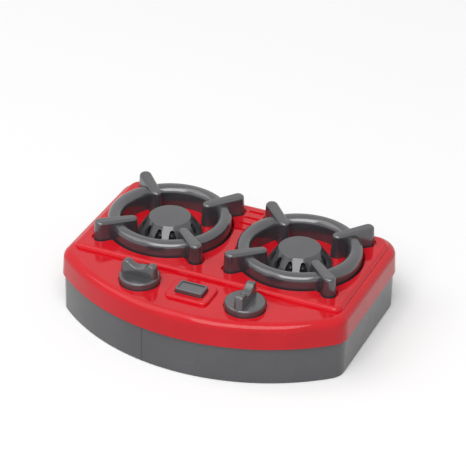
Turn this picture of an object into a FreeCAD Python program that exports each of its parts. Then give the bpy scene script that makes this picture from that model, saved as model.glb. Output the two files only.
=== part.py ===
import FreeCAD, Part
import math
import os
import re
import Sketcher

# Toy two-burner table stove: a red moulded top shell on a grey base tray, two pan supports,
# two burner caps, two turning knobs and one press button.
# Millimetres, +Z up, +X to the right seen from the front, -Y to the front.
# The origin is on the table, under the middle of the casing's box.

SIZES = {
    # casing outline seen from above
    "overall_width": 138.2,
    "overall_depth": 102.2,
    "bow_rise": 27.75,
    "front_corner_radius": 10.2,
    "back_corner_radius": 12.6,
    # base tray
    "base_height": 18.5,
    "base_inset": 1.0,
    "base_edge_rounding": 0.6,
    "mould_line_x": 16.3,
    "mould_line_radius": 0.25,
    "floor_thickness": 2.0,
    "tongue_height": 3.0,
    "tongue_thickness": 1.5,
    "tongue_clearance": 0.15,
    # top shell
    "skirt_height": 11.7,
    "shell_wall": 2.2,
    "rim_width": 4.1,
    "back_rim_width": 5.2,
    "rim_rounding": 3.8,
    "plateau_rise": 2.0,
    "plateau_setback": 31.4,
    "plateau_front_radius": 4.0,
    "plateau_back_radius": 6.4,
    "plateau_rounding": 1.9,
    "louvre_length": 7.4,
    "louvre_breadth": 1.8,
    "louvre_depth": 0.7,
    "louvre_pitch": 5.45,
    "louvre_first_from_back": 10.7,
    # screws, all of one size, and the bosses that they hold
    "screw_shank_radius": 1.3,
    "screw_head_radius": 2.6,
    "screw_head_height": 1.7,
    "screw_point": 1.2,
    "screw_recess": 0.9,
    "screw_recess_width": 0.7,
    "screw_recess_span": 3.0,
    "screw_fit": 0.05,
    "screw_clearance": 0.3,
    "boss_radius": 3.6,
    "well_wall": 1.4,
    "case_screw_inset": 11.6,
    "case_screw_front_gap": 6.7,
    "case_screw_seat": 10.0,
    "case_screw_length": 14.0,
    "boss_joint_height": 13.0,
    # burners
    "bowl_depth": 3.8,
    "bowl_wall": 1.6,
    "bowl_lip_rounding": 0.5,
    "burner_inset": 0.4,
    "burner_setback": 1.3,
    "ring_breadth": 5.6,
    "ring_height": 6.3,
    "ring_rounding": 2.7,
    "arm_side_gap": 4.5,
    "arm_back_gap": 3.1,
    "arm_cap_gap": 0.4,
    "arm_breadth": 6.9,
    "arm_tip_breadth": 5.8,
    "arm_height": 9.0,
    "arm_tip_drop": 1.6,
    "arm_rounding": 1.4,
    "seat_depth": 1.0,
    "seat_clearance": 0.8,
    "support_screw_length": 7.0,
    "cap_lip": 0.5,
    "cap_height": 8.3,
    "cap_wall": 1.1,
    "cap_post_radius": 3.2,
    "cap_rounding": 0.6,
    "cap_window_breadth": 3.6,
    "cap_window_length": 5.6,
    "cap_window_crown_radius": 1.1,
    "burner_screw_length": 5.6,
    "jet_ring_breadth": 2.6,
    "jet_ring_height": 4.4,
    "jet_overhang": 0.2,
    "jet_level": 3.3,
    "jet_radius": 0.8,
    # knobs
    "knob_x": 25.4,
    "knob_from_front": 19.6,
    "knob_radius": 9.1,
    "knob_disc_height": 3.2,
    "knob_rounding": 0.9,
    "knob_gap": 0.6,
    "knob_recess": 0.9,
    "knob_lift": 0.3,
    "grip_breadth": 5.2,
    "grip_setback": 0.15,
    "grip_corner_radius": 2.4,
    "grip_height": 9.4,
    "grip_dip": 2.4,
    "grip_ear_x": 5.9,
    "grip_ear_radius": 2.3,
    "grip_rounding": 0.8,
    "shaft_radius": 3.0,
    "shaft_fit": 0.05,
    "shaft_square": 4.0,
    "bearing_wall": 2.4,
    "bearing_length": 7.0,
    "axial_play": 0.2,
    "wheel_radius": 7.0,
    "wheel_thickness": 3.0,
    "wheel_fit": 0.05,
    "notch_circle": 7.4,
    "notch_radius": 0.9,
    "knob_screw_length": 9.0,
    # click springs
    "leaf_thickness": 0.4,
    "leaf_reach": 12.5,
    "leaf_overhang": 2.0,
    "leaf_bead_clearance": 0.15,
    "leaf_slot_clearance": 0.05,
    "leaf_post_length": 4.0,
    "leaf_post_breadth": 5.0,
    "leaf_post_overhang": 0.8,
    # press button
    "button_from_front": 19.1,
    "button_length": 13.0,
    "button_breadth": 7.6,
    "button_corner_radius": 0.9,
    "button_rounding": 0.5,
    "button_proud": 2.0,
    "button_gap": 0.35,
    "button_dish_margin": 1.0,
    "button_dish_depth": 0.4,
    "button_play": 0.1,
    "button_travel": 2.0,
    "bezel_length": 20.6,
    "bezel_breadth": 15.2,
    "bezel_corner_radius": 3.0,
    "bezel_rise": 1.5,
    "bezel_rounding": 1.1,
    "flange_margin": 2.0,
    "flange_thickness": 1.5,
    "stem_radius": 2.4,
    "stem_length": 16.0,
    "stem_end_gap": 1.0,
    "stem_fit": 0.05,
    "guide_wall": 2.2,
    "spring_length": 9.4,
    "spring_wire_radius": 0.35,
    "spring_mean_radius": 3.5,
    "spring_end_gap": 0.02,
    # one overrun for every cut that has to pass a face
    "overrun": 1.0,
}

# a burner's radii as shares of its arms' outer reach
SHARES = {
    "ring_share": 0.774,
    "support_screw_share": 0.697,
    "cap_foot_share": 0.410,
    "cap_top_share": 0.259,
    "jet_circle_share": 0.283,
}

# drafts of the moulded pieces, in degrees
DRAFTS = {
    "skirt_draft": 3.5,
    "arm_draft": 3.0,
    "grip_draft": 5.0,
}

ARM_COUNT = 4
WINDOW_COUNT = 12
LOUVRE_COUNT = 4
CLICK_COUNT = 12
SPRING_TURNS = 6
FULL_TURN = 360
ARM_ANGLE = 45
TOLERANCE = 1e-4

HALF_WIDTH = "(overall_width / 2)"
HALF_DEPTH = "(overall_depth / 2)"
BOW_RADIUS = "((overall_width^2 / 4 + bow_rise^2) / (2 * bow_rise))"
RIM_TOP = "(base_height + skirt_height)"
PLATEAU_TOP = "(base_height + skirt_height + plateau_rise)"
PLATEAU_UNDER = "(base_height + skirt_height + plateau_rise - shell_wall)"
PANEL_UNDER = "(base_height + skirt_height - shell_wall)"
BOWL_FLOOR = "(base_height + skirt_height + plateau_rise - bowl_depth)"
BOWL_UNDER = "(base_height + skirt_height + plateau_rise - bowl_depth - shell_wall)"
BEARING_BOTTOM = "(base_height + skirt_height - shell_wall - bearing_length)"
WHEEL_TOP = "(base_height + skirt_height - shell_wall - bearing_length - axial_play)"
WHEEL_BOTTOM = "(base_height + skirt_height - shell_wall - bearing_length - axial_play - wheel_thickness)"
FLANGE_BOTTOM = "(base_height + skirt_height - shell_wall - button_play - flange_thickness)"
STEM_BOTTOM = "(base_height + skirt_height - shell_wall - button_play - flange_thickness - stem_length)"
BUTTON_TOP = "(base_height + skirt_height + bezel_rise + button_proud)"
SADDLE_RADIUS = (
    "((grip_ear_x^2 + (grip_ear_radius - grip_dip)^2 - grip_ear_radius^2) / (2 * grip_dip))"
)
PLATEAU_SIDE = "(overall_width / 2 - rim_width)"
PLATEAU_BACK = "(overall_depth / 2 - back_rim_width)"
PLATEAU_FRONT = "(plateau_setback - overall_depth / 2)"
KNOB_Y = "(knob_from_front - overall_depth / 2)"
BUTTON_Y = "(button_from_front - overall_depth / 2)"
LEAF_Y = "(%s + notch_circle)" % KNOB_Y
GUIDE_TOP = "(%s - spring_length)" % FLANGE_BOTTOM
BURNER_X = "(%s / 2 - burner_inset)" % PLATEAU_SIDE
BURNER_Y = "((%s + %s) / 2 + burner_setback)" % (PLATEAU_BACK, PLATEAU_FRONT)
ARM_ROOM = "min(%s - %s - arm_side_gap; %s - %s - arm_back_gap)" % (
    PLATEAU_SIDE, BURNER_X, PLATEAU_BACK, BURNER_Y)
ARM_OUTER = "(%s / cos(%d) - arm_breadth / 2)" % (ARM_ROOM, ARM_ANGLE)
RING_RADIUS = "(%s * ring_share)" % ARM_OUTER
BOWL_RADIUS = "(%s + seat_clearance)" % RING_RADIUS
SUPPORT_SCREW_RADIUS = "(%s * support_screw_share)" % ARM_OUTER
CAP_FOOT_RADIUS = "(%s * cap_foot_share)" % ARM_OUTER
CAP_TOP_RADIUS = "(%s * cap_top_share)" % ARM_OUTER
ARM_INNER = "(%s + arm_cap_gap)" % CAP_FOOT_RADIUS
JET_CIRCLE = "(%s * jet_circle_share)" % ARM_OUTER
JET_RING_OUTER = "(%s - jet_overhang)" % JET_CIRCLE

doc = FreeCAD.newDocument("toy_stove")
sheet = doc.addObject("Spreadsheet::Sheet", "sizes")
VALUES = {**SIZES, **SHARES, **DRAFTS}
for row, (alias, size) in enumerate(VALUES.items(), start=1):
    sheet.set("A%d" % row, alias)
    sheet.set("B%d" % row, str(size))
    sheet.setAlias("B%d" % row, alias)
doc.recompute()


def formula(text):
    """Write a sum of named sizes the way the document's expressions read it."""

    def full_name(word):
        return "sizes." + word.group() if word.group() in VALUES else word.group()

    return re.sub(r"[a-z]\w*", full_name, text)


def number(text):
    """The present value of a sum of named sizes."""
    return float(sheet.evalExpression(formula(text)))


def bind(item, setting, text):
    item.setExpression(setting, formula(text))


# Bodies, sketches and features


def new_body(label, x="0", y="0", z="0"):
    body = doc.addObject("PartDesign::Body", label)
    body.Label = label
    for axis, text in zip("xyz", (x, y, z)):
        bind(body, "Placement.Base." + axis, text)
    return body


def origin_feature(body, role):
    return next(feature for feature in body.Origin.OriginFeatures if feature.Role == role)


def new_sketch(body, name, role="XY_Plane", lift="0", x="0", y="0", axis=(0, 0, 1), turn=0):
    sketch = body.newObject("Sketcher::SketchObject", body.Label + "_" + name)
    sketch.AttachmentSupport = [(origin_feature(body, role), "")]
    sketch.MapMode = "FlatFace"
    rotation = FreeCAD.Rotation(FreeCAD.Vector(*axis), turn)
    sketch.AttachmentOffset = FreeCAD.Placement(FreeCAD.Vector(), rotation)
    for letter, text in zip("xyz", (x, y, lift)):
        bind(sketch, "AttachmentOffset.Base." + letter, text)
    return sketch


def drive(sketch, kind, *parts, size):
    """Add a dimension to a sketch and bind it to a sum of named sizes."""
    index = sketch.addConstraint(Sketcher.Constraint(kind, *parts, number(size)))
    bind(sketch, "Constraints[%d]" % index, size)


def place(sketch, item, point, x=None, y=None):
    """Hold one point of a sketch at x and y, each measured from the sketch's origin."""
    for kind, axis, text in (("DistanceX", -2, x), ("DistanceY", -1, y)):
        if text is None:
            continue
        if abs(number(text)) < TOLERANCE:
            sketch.addConstraint(Sketcher.Constraint("PointOnObject", item, point, axis))
        elif number(text) > 0:
            drive(sketch, kind, -1, 1, item, point, size=text)
        else:
            drive(sketch, kind, item, point, -1, 1, size="-(%s)" % text)


def vector(x, y):
    return FreeCAD.Vector(number(x), number(y), 0)


def draw_circle(sketch, radius, x="0", y="0"):
    item = sketch.addGeometry(Part.Circle(vector(x, y), FreeCAD.Vector(0, 0, 1), number(radius)))
    drive(sketch, "Radius", item, size=radius)
    place(sketch, item, 3, x, y)


def draw_polygon(sketch, points):
    """A closed outline of straight edges through named points."""
    first = sketch.GeometryCount
    for start, end in zip(points, points[1:] + points[:1]):
        sketch.addGeometry(Part.LineSegment(vector(*start), vector(*end)))
    for step, (x, y) in enumerate(points):
        before = first + (step - 1) % len(points)
        sketch.addConstraint(Sketcher.Constraint("Coincident", before, 2, first + step, 1))
        place(sketch, first + step, 1, x, y)


def arc(centre, radius, start_degrees, end_degrees):
    circle = Part.Circle(centre, FreeCAD.Vector(0, 0, 1), radius)
    return Part.ArcOfCircle(circle, math.radians(start_degrees), math.radians(end_degrees))


def join_smoothly(sketch, items):
    """Join items end to start round a closed outline. Each item is (index, start point, end point)."""
    for (item, _, end), (following, start, _) in zip(items, items[1:] + items[:1]):
        sketch.addConstraint(Sketcher.Constraint("Tangent", item, end, following, start))


def draw_rounded_rectangle(sketch, left, right, bottom, top, front_radius, back_radius=None):
    """A rectangle with rounded corners, its two front corners and its two back corners set apart."""
    back_radius = back_radius or front_radius
    west, east, south, north = (number(text) for text in (left, right, bottom, top))
    near, far = number(front_radius), number(back_radius)
    corner = FreeCAD.Vector
    first = sketch.GeometryCount
    sketch.addGeometry([
        Part.LineSegment(corner(west + near, south, 0), corner(east - near, south, 0)),
        arc(corner(east - near, south + near, 0), near, 270, 360),
        Part.LineSegment(corner(east, south + near, 0), corner(east, north - far, 0)),
        arc(corner(east - far, north - far, 0), far, 0, 90),
        Part.LineSegment(corner(east - far, north, 0), corner(west + far, north, 0)),
        arc(corner(west + far, north - far, 0), far, 90, 180),
        Part.LineSegment(corner(west, north - far, 0), corner(west, south + near, 0)),
        arc(corner(west + near, south + near, 0), near, 180, 270),
    ])
    join_smoothly(sketch, [(first + step, 1, 2) for step in range(8)])
    for step, kind in ((0, "Horizontal"), (2, "Vertical"), (4, "Horizontal"), (6, "Vertical")):
        sketch.addConstraint(Sketcher.Constraint(kind, first + step))
    for step, radius in ((1, front_radius), (3, back_radius), (5, back_radius), (7, front_radius)):
        drive(sketch, "Radius", first + step, size=radius)
    place(sketch, first, 1, y=bottom)
    place(sketch, first + 2, 1, x=right)
    place(sketch, first + 4, 1, y=top)
    place(sketch, first + 6, 1, x=left)


def draw_casing_outline(sketch, inset):
    """The casing seen from above: straight back and sides, a front bowed on one arc, rounded corners."""
    side = "%s - %s" % (HALF_WIDTH, inset)
    back = "%s - %s" % (HALF_DEPTH, inset)
    bow = "%s - %s" % (BOW_RADIUS, inset)
    bow_centre = "%s - %s" % (BOW_RADIUS, HALF_DEPTH)
    near = "front_corner_radius - %s" % inset
    far = "back_corner_radius - %s" % inset
    half, rear, bow_size, centre_y = number(side), number(back), number(bow), number(bow_centre)
    front_radius, back_radius = number(near), number(far)
    corner_x = half - front_radius
    corner_y = centre_y - math.sqrt((bow_size - front_radius) ** 2 - corner_x ** 2)
    swing = math.degrees(math.atan2(corner_y - centre_y, corner_x))
    point = FreeCAD.Vector
    sketch.addGeometry([
        arc(point(0, centre_y, 0), bow_size, -180 - swing, swing),
        arc(point(corner_x, corner_y, 0), front_radius, swing, 0),
        Part.LineSegment(point(half, corner_y, 0), point(half, rear - back_radius, 0)),
        arc(point(half - back_radius, rear - back_radius, 0), back_radius, 0, 90),
        Part.LineSegment(point(half - back_radius, rear, 0), point(back_radius - half, rear, 0)),
        arc(point(back_radius - half, rear - back_radius, 0), back_radius, 90, 180),
        Part.LineSegment(point(-half, rear - back_radius, 0), point(-half, corner_y, 0)),
        arc(point(-corner_x, corner_y, 0), front_radius, 180, 180 - swing),
    ])
    join_smoothly(sketch, [(step, 1, 2) for step in range(8)])
    for item, kind in ((2, "Vertical"), (4, "Horizontal"), (6, "Vertical")):
        sketch.addConstraint(Sketcher.Constraint(kind, item))
    for item, radius in ((0, bow), (1, near), (3, far), (5, far), (7, near)):
        drive(sketch, "Radius", item, size=radius)
    place(sketch, 0, 3, "0", bow_centre)
    place(sketch, 2, 1, x=side)
    place(sketch, 4, 1, y=back)
    place(sketch, 6, 1, x="-(%s)" % side)


def pad(body, sketch, length, draft=None):
    feature = body.newObject("PartDesign::Pad", sketch.Label + "_pad")
    feature.Profile = sketch
    bind(feature, "Length", length)
    if draft:
        bind(feature, "TaperAngle", "-" + draft)
    doc.recompute()
    return feature


def pocket(body, sketch, length, upward=False, both_ways=False):
    """Cut a sketch into the body, and make sure that the cut takes material away."""
    doc.recompute()
    before = body.Shape.Volume
    feature = body.newObject("PartDesign::Pocket", sketch.Label + "_pocket")
    feature.Profile = sketch
    feature.Reversed = upward
    if both_ways:
        feature.SideType = "Symmetric"
    bind(feature, "Length", length)
    doc.recompute()
    if not feature.Shape.Volume < before:
        raise RuntimeError("nothing was cut by " + feature.Label)
    return feature


def revolve(body, sketch):
    feature = body.newObject("PartDesign::Revolution", sketch.Label + "_turned")
    feature.Profile = sketch
    feature.ReferenceAxis = (sketch, ["V_Axis"])
    feature.Angle = FULL_TURN
    doc.recompute()
    return feature


def repeat_round(body, features, axis, count):
    pattern = body.newObject("PartDesign::PolarPattern", features[0].Label + "_round")
    pattern.Originals = features
    pattern.Axis = axis
    pattern.Angle = FULL_TURN
    pattern.Occurrences = count
    body.Tip = pattern
    doc.recompute()
    return pattern


def at_level(edge, height):
    """True for an edge that lies all round at one height of its body."""
    levels = [vertex.Z for vertex in edge.Vertexes] + [edge.CenterOfMass.z]
    return all(abs(level - height) < TOLERANCE for level in levels)


def fillet(body, name, radius, chosen):
    """Round every edge of the body's present form that the test picks out."""
    doc.recompute()
    base = body.Tip
    names = ["Edge%d" % (index + 1) for index, edge in enumerate(base.Shape.Edges) if chosen(edge)]
    feature = body.newObject("PartDesign::Fillet", body.Label + "_" + name)
    feature.Base = (base, names)
    bind(feature, "Radius", radius)
    doc.recompute()
    return feature


# Fasteners


def make_screw(label, length, x="0", y="0", z="0"):
    """A pan-head screw that points up: its head's seat is the body's origin."""
    body = new_body(label, x, y, z)
    profile = new_sketch(body, "profile", "XZ_Plane")
    draw_polygon(profile, [
        ("0", "-screw_head_height"),
        ("screw_head_radius - screw_head_height / 3", "-screw_head_height"),
        ("screw_head_radius", "-screw_head_height * 2 / 3"),
        ("screw_head_radius", "0"),
        ("screw_shank_radius", "0"),
        ("screw_shank_radius", "%s - screw_point" % length),
        ("0", length),
    ])
    revolve(body, profile)
    recess = new_sketch(body, "recess", lift="-screw_head_height")
    half, arm = "screw_recess_width / 2", "screw_recess_span / 2"
    corners = [(arm, half), (half, half), (half, arm)]
    corners += [("-(%s)" % x, y) for x, y in reversed(corners)]
    corners += [(x, "-(%s)" % y) for x, y in reversed(corners)]
    draw_polygon(recess, corners)
    pocket(body, recess, "screw_recess", upward=True)
    return body


def group(label, bodies):
    """Identical fasteners that share one node."""
    compound = doc.addObject("Part::Compound", label)
    compound.Label = label
    compound.Links = bodies
    return compound


# Casing

SIDES = (("left", "-"), ("right", ""))
CASE_SCREW_PLACES = [
    ("%s(%s - case_screw_inset)" % (side, HALF_WIDTH), y)
    for _, side in SIDES
    for y in (HALF_DEPTH + " - case_screw_inset", PLATEAU_FRONT + " + case_screw_front_gap")
]


def make_base_tray():
    """Grey tray: a tongue inside the skirt, four screw wells, the button's guide tube, a mould line."""
    body = new_body("base_tray")
    wall = new_sketch(body, "wall")
    draw_casing_outline(wall, "base_inset")
    pad(body, wall, "base_height")
    fillet(body, "foot_edge", "base_edge_rounding", lambda edge: at_level(edge, 0))
    tongue = new_sketch(body, "tongue", lift="base_height")
    draw_casing_outline(tongue, "(shell_wall + tongue_clearance)")
    pad(body, tongue, "tongue_height")
    hollow = new_sketch(body, "hollow", lift="floor_thickness")
    draw_casing_outline(hollow, "(shell_wall + tongue_clearance + tongue_thickness)")
    pocket(body, hollow, "base_height + tongue_height - floor_thickness + overrun", upward=True)
    wells = new_sketch(body, "wells", lift="floor_thickness / 2")
    for x, y in CASE_SCREW_PLACES:
        draw_circle(wells, "screw_head_radius + screw_clearance + well_wall", x, y)
    pad(body, wells, "boss_joint_height - floor_thickness / 2")
    well_bores = new_sketch(body, "well_bores")
    for x, y in CASE_SCREW_PLACES:
        draw_circle(well_bores, "screw_head_radius + screw_clearance", x, y)
    pocket(body, well_bores, "case_screw_seat", upward=True)
    screw_holes = new_sketch(body, "screw_holes")
    for x, y in CASE_SCREW_PLACES:
        draw_circle(screw_holes, "screw_shank_radius + screw_clearance", x, y)
    pocket(body, screw_holes, "boss_joint_height + overrun", upward=True)
    guide = new_sketch(body, "guide", lift="floor_thickness / 2")
    draw_circle(guide, "stem_radius + stem_fit + guide_wall", "0", BUTTON_Y)
    pad(body, guide, "%s - floor_thickness / 2" % GUIDE_TOP)
    guide_bore = new_sketch(body, "guide_bore", lift=GUIDE_TOP)
    draw_circle(guide_bore, "stem_radius + stem_fit", "0", BUTTON_Y)
    pocket(body, guide_bore, "%s - %s + button_travel + stem_end_gap" % (GUIDE_TOP, STEM_BOTTOM))
    mould_line = new_sketch(body, "mould_line")
    front = "%s - %s - sqrt((%s - base_inset)^2 - mould_line_x^2)" % (BOW_RADIUS, HALF_DEPTH, BOW_RADIUS)
    draw_circle(mould_line, "mould_line_radius", "-mould_line_x", front)
    pocket(body, mould_line, "base_height", upward=True)
    return body


def draw_plateau(sketch, inset):
    side = "%s - %s" % (PLATEAU_SIDE, inset)
    draw_rounded_rectangle(
        sketch, "-(%s)" % side, side, "%s + %s" % (PLATEAU_FRONT, inset), "%s - %s" % (PLATEAU_BACK, inset),
        "plateau_front_radius - %s" % inset, "plateau_back_radius - %s" % inset)


def draw_button_rectangle(sketch, margin, radius, y=BUTTON_Y):
    """A rounded rectangle that stands all round by a margin outside the button's own."""
    half_length = "button_length / 2 + %s" % margin
    half_breadth = "(button_breadth / 2 + %s)" % margin
    draw_rounded_rectangle(sketch, "-(%s)" % half_length, half_length,
                           "%s - %s" % (y, half_breadth), "%s + %s" % (y, half_breadth), radius)


def draw_arm(sketch, margin):
    """One pan support arm's foot, seen from above: down is its outer end, and it narrows to its tip."""
    draw_egg(sketch, "(arm_breadth / 2 + %s)" % margin, "(arm_tip_breadth / 2 + %s)" % margin,
             "(arm_breadth / 2 - %s)" % ARM_OUTER, "-(%s + arm_tip_breadth / 2)" % ARM_INNER)


def arm_turn(side):
    """The direction of a burner's screwed arms: outwards at the back, inwards at the front."""
    return 180 - ARM_ANGLE if side else ARM_ANGLE


def make_top_shell():
    """Red shell: bowed panel with a rounded rim, a raised plateau, seats for all that stands on it."""
    body = new_body("top_shell")
    skirt = new_sketch(body, "skirt", lift="base_height")
    draw_casing_outline(skirt, "0")
    pad(body, skirt, "skirt_height", "skirt_draft")
    rim_top = number(RIM_TOP)
    fillet(body, "rim_edge", "rim_rounding", lambda edge: at_level(edge, rim_top))
    plateau = new_sketch(body, "plateau", lift=RIM_TOP + " - overrun")
    draw_plateau(plateau, "0")
    pad(body, plateau, "plateau_rise + overrun")
    plateau_top = number(PLATEAU_TOP)
    fillet(body, "plateau_edge", "plateau_rounding", lambda edge: at_level(edge, plateau_top))
    bezel = new_sketch(body, "bezel", lift=RIM_TOP)
    draw_rounded_rectangle(
        bezel, "-bezel_length / 2", "bezel_length / 2", "%s - bezel_breadth / 2" % BUTTON_Y,
        "%s + bezel_breadth / 2" % BUTTON_Y, "bezel_corner_radius")
    pad(body, bezel, "bezel_rise")
    bezel_top = number(RIM_TOP + " + bezel_rise")
    fillet(body, "bezel_edge", "bezel_rounding", lambda edge: at_level(edge, bezel_top))
    cavity = new_sketch(body, "cavity", lift="base_height - overrun")
    draw_casing_outline(cavity, "shell_wall")
    pocket(body, cavity, "skirt_height - shell_wall + overrun", upward=True)
    loft = new_sketch(body, "plateau_cavity", lift=PANEL_UNDER + " - overrun")
    draw_plateau(loft, "shell_wall")
    pocket(body, loft, "plateau_rise + overrun", upward=True)
    sink_bowls(body)
    add_shell_bosses(body)
    cut_shell_seats(body)
    return body


def sink_bowls(body):
    """Round bowls in the plateau, with rounded lips, where the rings and the burner caps stand."""
    outsides = new_sketch(body, "bowls", lift=BOWL_UNDER)
    insides = new_sketch(body, "bowl_hollows", lift=PLATEAU_TOP)
    for _, side in SIDES:
        draw_circle(outsides, BOWL_RADIUS + " + bowl_wall", side + BURNER_X, BURNER_Y)
        draw_circle(insides, BOWL_RADIUS, side + BURNER_X, BURNER_Y)
    pad(body, outsides, "%s - %s + shell_wall / 2" % (PLATEAU_UNDER, BOWL_UNDER))
    pocket(body, insides, "bowl_depth")
    plateau_top, lip = number(PLATEAU_TOP), number(BOWL_RADIUS)

    def on_lip(edge):
        return at_level(edge, plateau_top) and abs(getattr(edge.Curve, "Radius", 0) - lip) < TOLERANCE

    fillet(body, "bowl_lips", "bowl_lip_rounding", on_lip)


def add_shell_bosses(body):
    """Screw bosses, knob bearings and click spring posts on the shell's underside."""
    bosses = new_sketch(body, "bosses", lift="boss_joint_height")
    for x, y in CASE_SCREW_PLACES:
        draw_circle(bosses, "boss_radius", x, y)
    pad(body, bosses, "%s - boss_joint_height + shell_wall / 2" % PLATEAU_UNDER)
    pilots = new_sketch(body, "pilots", lift="boss_joint_height")
    for x, y in CASE_SCREW_PLACES:
        draw_circle(pilots, "screw_shank_radius + screw_fit", x, y)
    pocket(body, pilots, "case_screw_seat + case_screw_length + overrun - boss_joint_height", upward=True)
    bearings = new_sketch(body, "bearings", lift=BEARING_BOTTOM)
    for _, side in SIDES:
        draw_circle(bearings, "shaft_radius + shaft_fit + bearing_wall", side + "knob_x", KNOB_Y)
    pad(body, bearings, "bearing_length + shell_wall / 2")
    posts = new_sketch(body, "leaf_posts", lift=WHEEL_BOTTOM + " - leaf_post_overhang")
    slots = new_sketch(body, "leaf_slots", lift=WHEEL_BOTTOM + " - leaf_post_overhang")
    near, far = "knob_x - leaf_reach", "knob_x - leaf_reach - leaf_post_length"
    slot_half = "leaf_thickness / 2 + leaf_slot_clearance"
    for _, side in SIDES:
        ends = [far, near] if not side else ["-(%s)" % near, "-(%s)" % far]
        draw_rounded_rectangle(posts, *ends, "%s - leaf_post_breadth / 2" % LEAF_Y,
                               "%s + leaf_post_breadth / 2" % LEAF_Y, "leaf_thickness")
        cut = ["%s - overrun" % far, "%s + overrun" % near]
        cut = cut if not side else ["-(%s)" % cut[1], "-(%s)" % cut[0]]
        low, high = "%s - (%s)" % (LEAF_Y, slot_half), "%s + (%s)" % (LEAF_Y, slot_half)
        draw_polygon(slots, [(cut[0], low), (cut[1], low), (cut[1], high), (cut[0], high)])
    pad(body, posts, "%s - %s + leaf_post_overhang + shell_wall / 2" % (PANEL_UNDER, WHEEL_BOTTOM))
    pocket(body, slots, "wheel_thickness + leaf_post_overhang", upward=True)


def cut_shell_seats(body):
    """Knob recesses and bores, the button's hole, seats for the pan supports, screw holes, louvres."""
    recesses = new_sketch(body, "knob_recesses", lift=RIM_TOP)
    bores = new_sketch(body, "knob_bores", lift=RIM_TOP)
    for _, side in SIDES:
        draw_circle(recesses, "knob_radius + knob_gap", side + "knob_x", KNOB_Y)
        draw_circle(bores, "shaft_radius + shaft_fit", side + "knob_x", KNOB_Y)
    pocket(body, recesses, "knob_recess")
    pocket(body, bores, "shell_wall + bearing_length + overrun")
    button_hole = new_sketch(body, "button_hole", lift=RIM_TOP + " + bezel_rise")
    draw_button_rectangle(button_hole, "button_gap", "button_corner_radius + button_gap")
    pocket(body, button_hole, "bezel_rise + shell_wall + overrun")
    louvres = new_sketch(body, "louvres", lift=PLATEAU_TOP)
    for step in range(LOUVRE_COUNT):
        middle = "%s - louvre_first_from_back - %d * louvre_pitch" % (HALF_DEPTH, step)
        draw_rounded_rectangle(
            louvres, "-louvre_length / 2", "louvre_length / 2", "%s - louvre_breadth / 2" % middle,
            "%s + louvre_breadth / 2" % middle, "louvre_breadth / 3")
    pocket(body, louvres, "louvre_depth")
    for name, side in SIDES:
        place_at = {"x": side + BURNER_X, "y": BURNER_Y}
        turn = arm_turn(side)
        seat = new_sketch(body, name + "_arm_seat", lift=PLATEAU_TOP, turn=turn + FULL_TURN / 4, **place_at)
        draw_arm(seat, "seat_clearance")
        cut = pocket(body, seat, "seat_depth")
        repeat_round(body, [cut], (seat, ["N_Axis"]), ARM_COUNT)
        holes = new_sketch(body, name + "_burner_holes", lift=BOWL_FLOOR, turn=turn, **place_at)
        for x in ("-" + SUPPORT_SCREW_RADIUS, "0", SUPPORT_SCREW_RADIUS):
            draw_circle(holes, "screw_shank_radius + screw_clearance", x)
        pocket(body, holes, "shell_wall + overrun")


# Burners


def make_pan_support(name, side):
    """Round-topped ring that stands in its bowl, with four arms whose outer feet drop into seats."""
    body = new_body(name + "_pan_support", side + BURNER_X, BURNER_Y, PLATEAU_TOP)
    ring = new_sketch(body, "ring", "XZ_Plane")
    inner = "%s - ring_breadth" % RING_RADIUS
    draw_polygon(ring, [
        (inner, "-bowl_depth"),
        (RING_RADIUS, "-bowl_depth"),
        (RING_RADIUS, "ring_height"),
        (inner, "ring_height"),
    ])
    revolve(body, ring)
    ring_top = number("ring_height")
    fillet(body, "ring_top", "ring_rounding", lambda edge: at_level(edge, ring_top))
    turn = arm_turn(side)
    foot = new_sketch(body, "arm", lift="-bowl_depth", turn=turn + FULL_TURN / 4)
    draw_arm(foot, "0")
    arm_pad = pad(body, foot, "arm_height + bowl_depth", "arm_draft")
    slope = new_sketch(body, "arm_slope", "XZ_Plane", axis=(0, 1, 0), turn=turn)
    draw_polygon(slope, [
        (ARM_INNER + " - overrun", "arm_height - arm_tip_drop"),
        (ARM_OUTER, "arm_height"),
        (ARM_OUTER, "arm_height + overrun"),
        (ARM_INNER + " - overrun", "arm_height + overrun"),
    ])
    slope_cut = pocket(body, slope, "arm_breadth * 2", both_ways=True)
    repeat_round(body, [arm_pad, slope_cut], (foot, ["N_Axis"]), ARM_COUNT)
    between = number("(ring_height + arm_height - arm_tip_drop) / 2")
    fillet(body, "arm_tops", "arm_rounding", lambda edge: edge.BoundBox.ZMin > between)
    outer_feet = new_sketch(body, "outer_feet", lift="-bowl_depth")
    draw_circle(outer_feet, RING_RADIUS + " + seat_clearance / 2")
    draw_circle(outer_feet, ARM_OUTER + " + overrun")
    pocket(body, outer_feet, "bowl_depth - seat_depth", upward=True)
    pilots = new_sketch(body, "pilots", lift="-bowl_depth", turn=turn)
    for x in ("-" + SUPPORT_SCREW_RADIUS, SUPPORT_SCREW_RADIUS):
        draw_circle(pilots, "screw_shank_radius + screw_fit", x)
    pocket(body, pilots, "support_screw_length", upward=True)
    return body


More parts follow.
